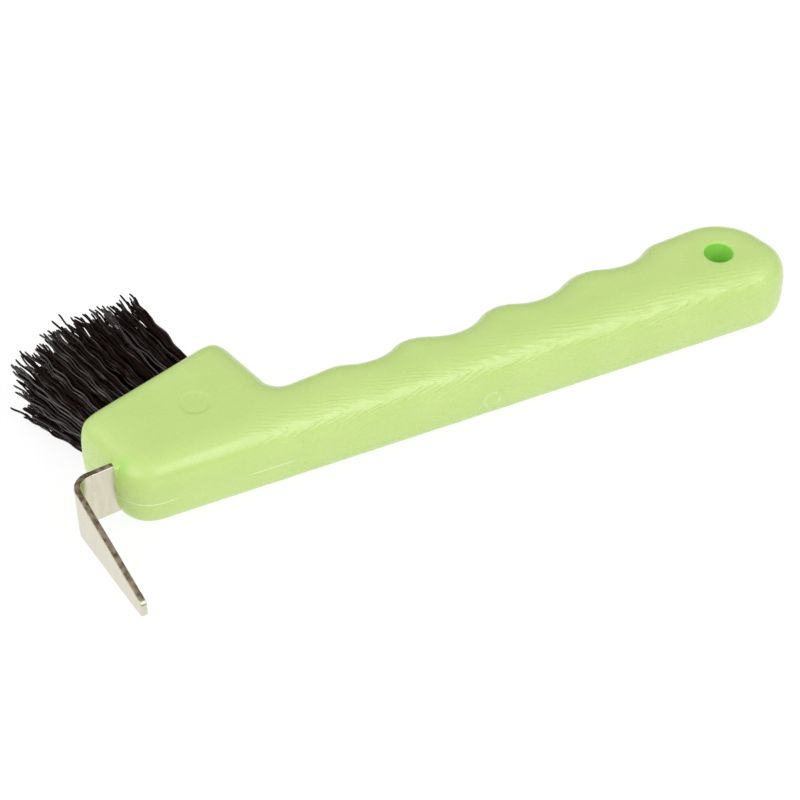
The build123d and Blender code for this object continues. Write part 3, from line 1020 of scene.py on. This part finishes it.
def black_filament():
    """Black filament, each bristle with a gloss of its own."""
    finish = Finish("black_filament", IOR=1.5)
    finish.shader.inputs["Base Color"].default_value = (*FILAMENT_BLACK, 1)
    place, _ = finish.coordinates()
    patches = finish.noise(place, 0.3, detail=2.0)
    bristle = finish.node("ShaderNodeAttribute", attribute_name="shine").outputs["Fac"]
    wet = finish.math("MULTIPLY_ADD", patches, 0.8, bristle)
    shine = finish.remap(wet, 0.85, 1.3, 0.04, 0.9)
    rough = finish.remap(wet, 0.7, 1.2, 0.3, 0.09)
    skin = finish.bump(finish.noise(place, 3.0), 0.01)
    finish.drive(Roughness=rough, Normal=skin, Specular_IOR_Level=shine)
    return finish.material


def anchor_wire():
    """Drawn wire of the hidden anchors."""
    finish = Finish("anchor_wire", Metallic=1.0)
    finish.shader.inputs["Base Color"].default_value = (*WIRE_GREY, 1)
    place, _ = finish.coordinates()
    rough = finish.remap(finish.noise(place, (2.0, 2.0, 0.3), detail=3.0), 0.3, 0.7, 0.25, 0.45)
    finish.drive(Roughness=rough)
    return finish.material


def dress(piece, material):
    piece.data.materials.clear()
    piece.data.materials.append(material)


# ---- stage ----
CAMERA_AIM = Vector((-0.0111, -0.0080, 0.0100))
CAMERA_AZIMUTH = math.radians(-24.5)
CAMERA_ELEVATION = math.radians(45.0)
CAMERA_DISTANCE = 0.5482
CAMERA_LENS = 108.0
FLOOR_HALF = 3.0
FLOOR_GREY = 0.15
FLOOR_GLOW = 0.87
GAP_AZIMUTH = math.radians(155.5)
GAP_ELEVATION = math.radians(50)
GAP_EDGES = (math.radians(48), math.radians(25))  # outer and inner, from the gap's middle
GAP_LEVEL = 0.5
HORIZON_LEVEL = 0.2
SKY_LEVEL = 1.04
SKY_HEIGHT = 0.8  # sine of the elevation where the sky has its full level


def direction(azimuth, elevation):
    """Unit vector towards a place round the object, azimuth 0 being in front of it."""
    flat = math.cos(elevation)
    return Vector((math.sin(azimuth) * flat, -math.cos(azimuth) * flat, math.sin(elevation)))


def add_camera():
    camera = bpy.data.objects.new("camera", bpy.data.cameras.new("camera"))
    bpy.context.scene.collection.objects.link(camera)
    back = direction(CAMERA_AZIMUTH, CAMERA_ELEVATION)
    camera.location = CAMERA_AIM + back * CAMERA_DISTANCE
    camera.rotation_euler = back.to_track_quat("Z", "Y").to_euler()
    camera.data.sensor_width = 36.0
    camera.data.lens = CAMERA_LENS
    camera.data.clip_start = 0.01
    bpy.context.scene.camera = camera


def add_softbox(name, azimuth, elevation, distance, size, power):
    """Area light that faces the object; angles in degrees, distance and size in metres."""
    light = bpy.data.lights.new(name, "AREA")
    light.shape = "RECTANGLE"
    light.size, light.size_y = size
    light.energy = power
    lamp = bpy.data.objects.new(name, light)
    bpy.context.scene.collection.objects.link(lamp)
    towards = direction(math.radians(azimuth), math.radians(elevation))
    lamp.location = CAMERA_AIM + towards * distance
    lamp.rotation_euler = towards.to_track_quat("Z", "Y").to_euler()


def add_floor():
    """White floor, mostly by its own glow, so that only a faint shadow shows."""
    half = FLOOR_HALF
    mesh = bpy.data.meshes.new("floor")
    corners = [(-half, -half, 0), (half, -half, 0), (half, half, 0), (-half, half, 0)]
    mesh.from_pydata(corners, [], [(0, 1, 2, 3)])
    floor = bpy.data.objects.new("floor", mesh)
    bpy.context.scene.collection.objects.link(floor)
    finish = Finish("white_floor", Roughness=0.9)
    finish.shader.inputs["Base Color"].default_value = (*(FLOOR_GREY,) * 3, 1)
    finish.shader.inputs["Emission Color"].default_value = (1, 1, 1, 1)
    finish.shader.inputs["Emission Strength"].default_value = FLOOR_GLOW
    dress(floor, finish.material)


def add_world():
    """Even white surroundings, with a dark gap high up behind the object."""
    world = bpy.data.worlds.new("studio")
    world.use_nodes = True
    bpy.context.scene.world = world
    tree = world.node_tree
    place = tree.nodes.new("ShaderNodeTexCoord")
    facing = tree.nodes.new("ShaderNodeVectorMath")
    facing.operation = "DOT_PRODUCT"
    gap = direction(GAP_AZIMUTH, GAP_ELEVATION)
    facing.inputs[1].default_value = tuple(gap)
    tree.links.new(place.outputs["Generated"], facing.inputs[0])
    level = tree.nodes.new("ShaderNodeMapRange")
    level.interpolation_type = "SMOOTHSTEP"
    level.inputs["From Min"].default_value = math.cos(GAP_EDGES[0])
    level.inputs["From Max"].default_value = math.cos(GAP_EDGES[1])
    level.inputs["To Min"].default_value = 1.0
    level.inputs["To Max"].default_value = GAP_LEVEL
    tree.links.new(facing.outputs["Value"], level.inputs["Value"])
    background = tree.nodes["Background"]
    background.inputs["Color"].default_value = (1, 1, 1, 1)
    split = tree.nodes.new("ShaderNodeSeparateXYZ")
    tree.links.new(place.outputs["Generated"], split.inputs[0])
    sky = tree.nodes.new("ShaderNodeMapRange")
    sky.interpolation_type = "SMOOTHSTEP"
    sky.inputs["From Max"].default_value = SKY_HEIGHT
    sky.inputs["To Min"].default_value = HORIZON_LEVEL
    sky.inputs["To Max"].default_value = SKY_LEVEL
    tree.links.new(split.outputs[2], sky.inputs["Value"])
    strength = tree.nodes.new("ShaderNodeMath")
    strength.operation = "MULTIPLY"
    tree.links.new(level.outputs[0], strength.inputs[0])
    tree.links.new(sky.outputs[0], strength.inputs[1])
    tree.links.new(strength.outputs[0], background.inputs["Strength"])


# ---- assembly ----
def place_piece(piece, material, slot, *nodes):
    dress(piece, material)
    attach(piece, "root")
    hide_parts(*nodes)


hook = make_hook()
handle = make_handle(hook)
pierce_tang(hook)
place_piece(handle, green_plastic(), "handle_plastic", "handle")
place_piece(hook, nickel_steel(), "hook_steel", "pick_hook")
filament = black_filament()
for column in range(TUFT_COLUMNS):
    for row in range(TUFT_ROWS):
        node = f"tuft_c{column + 1}_r{row + 1}"
        place_piece(make_tuft(column, row), filament, "bristle", node)
wire = anchor_wire()
for name, node in frame["nodes"].items():
    if name.startswith("anchor"):
        dress(node, wire)

add_floor()
add_world()
add_softbox("key", azimuth=24, elevation=44, distance=0.9, size=(0.46, 0.46), power=2.0)
add_softbox("fill", azimuth=-75, elevation=32, distance=1.0, size=(0.7, 0.7), power=2.2)
add_camera()
bpy.context.scene.view_settings.view_transform = "Standard"
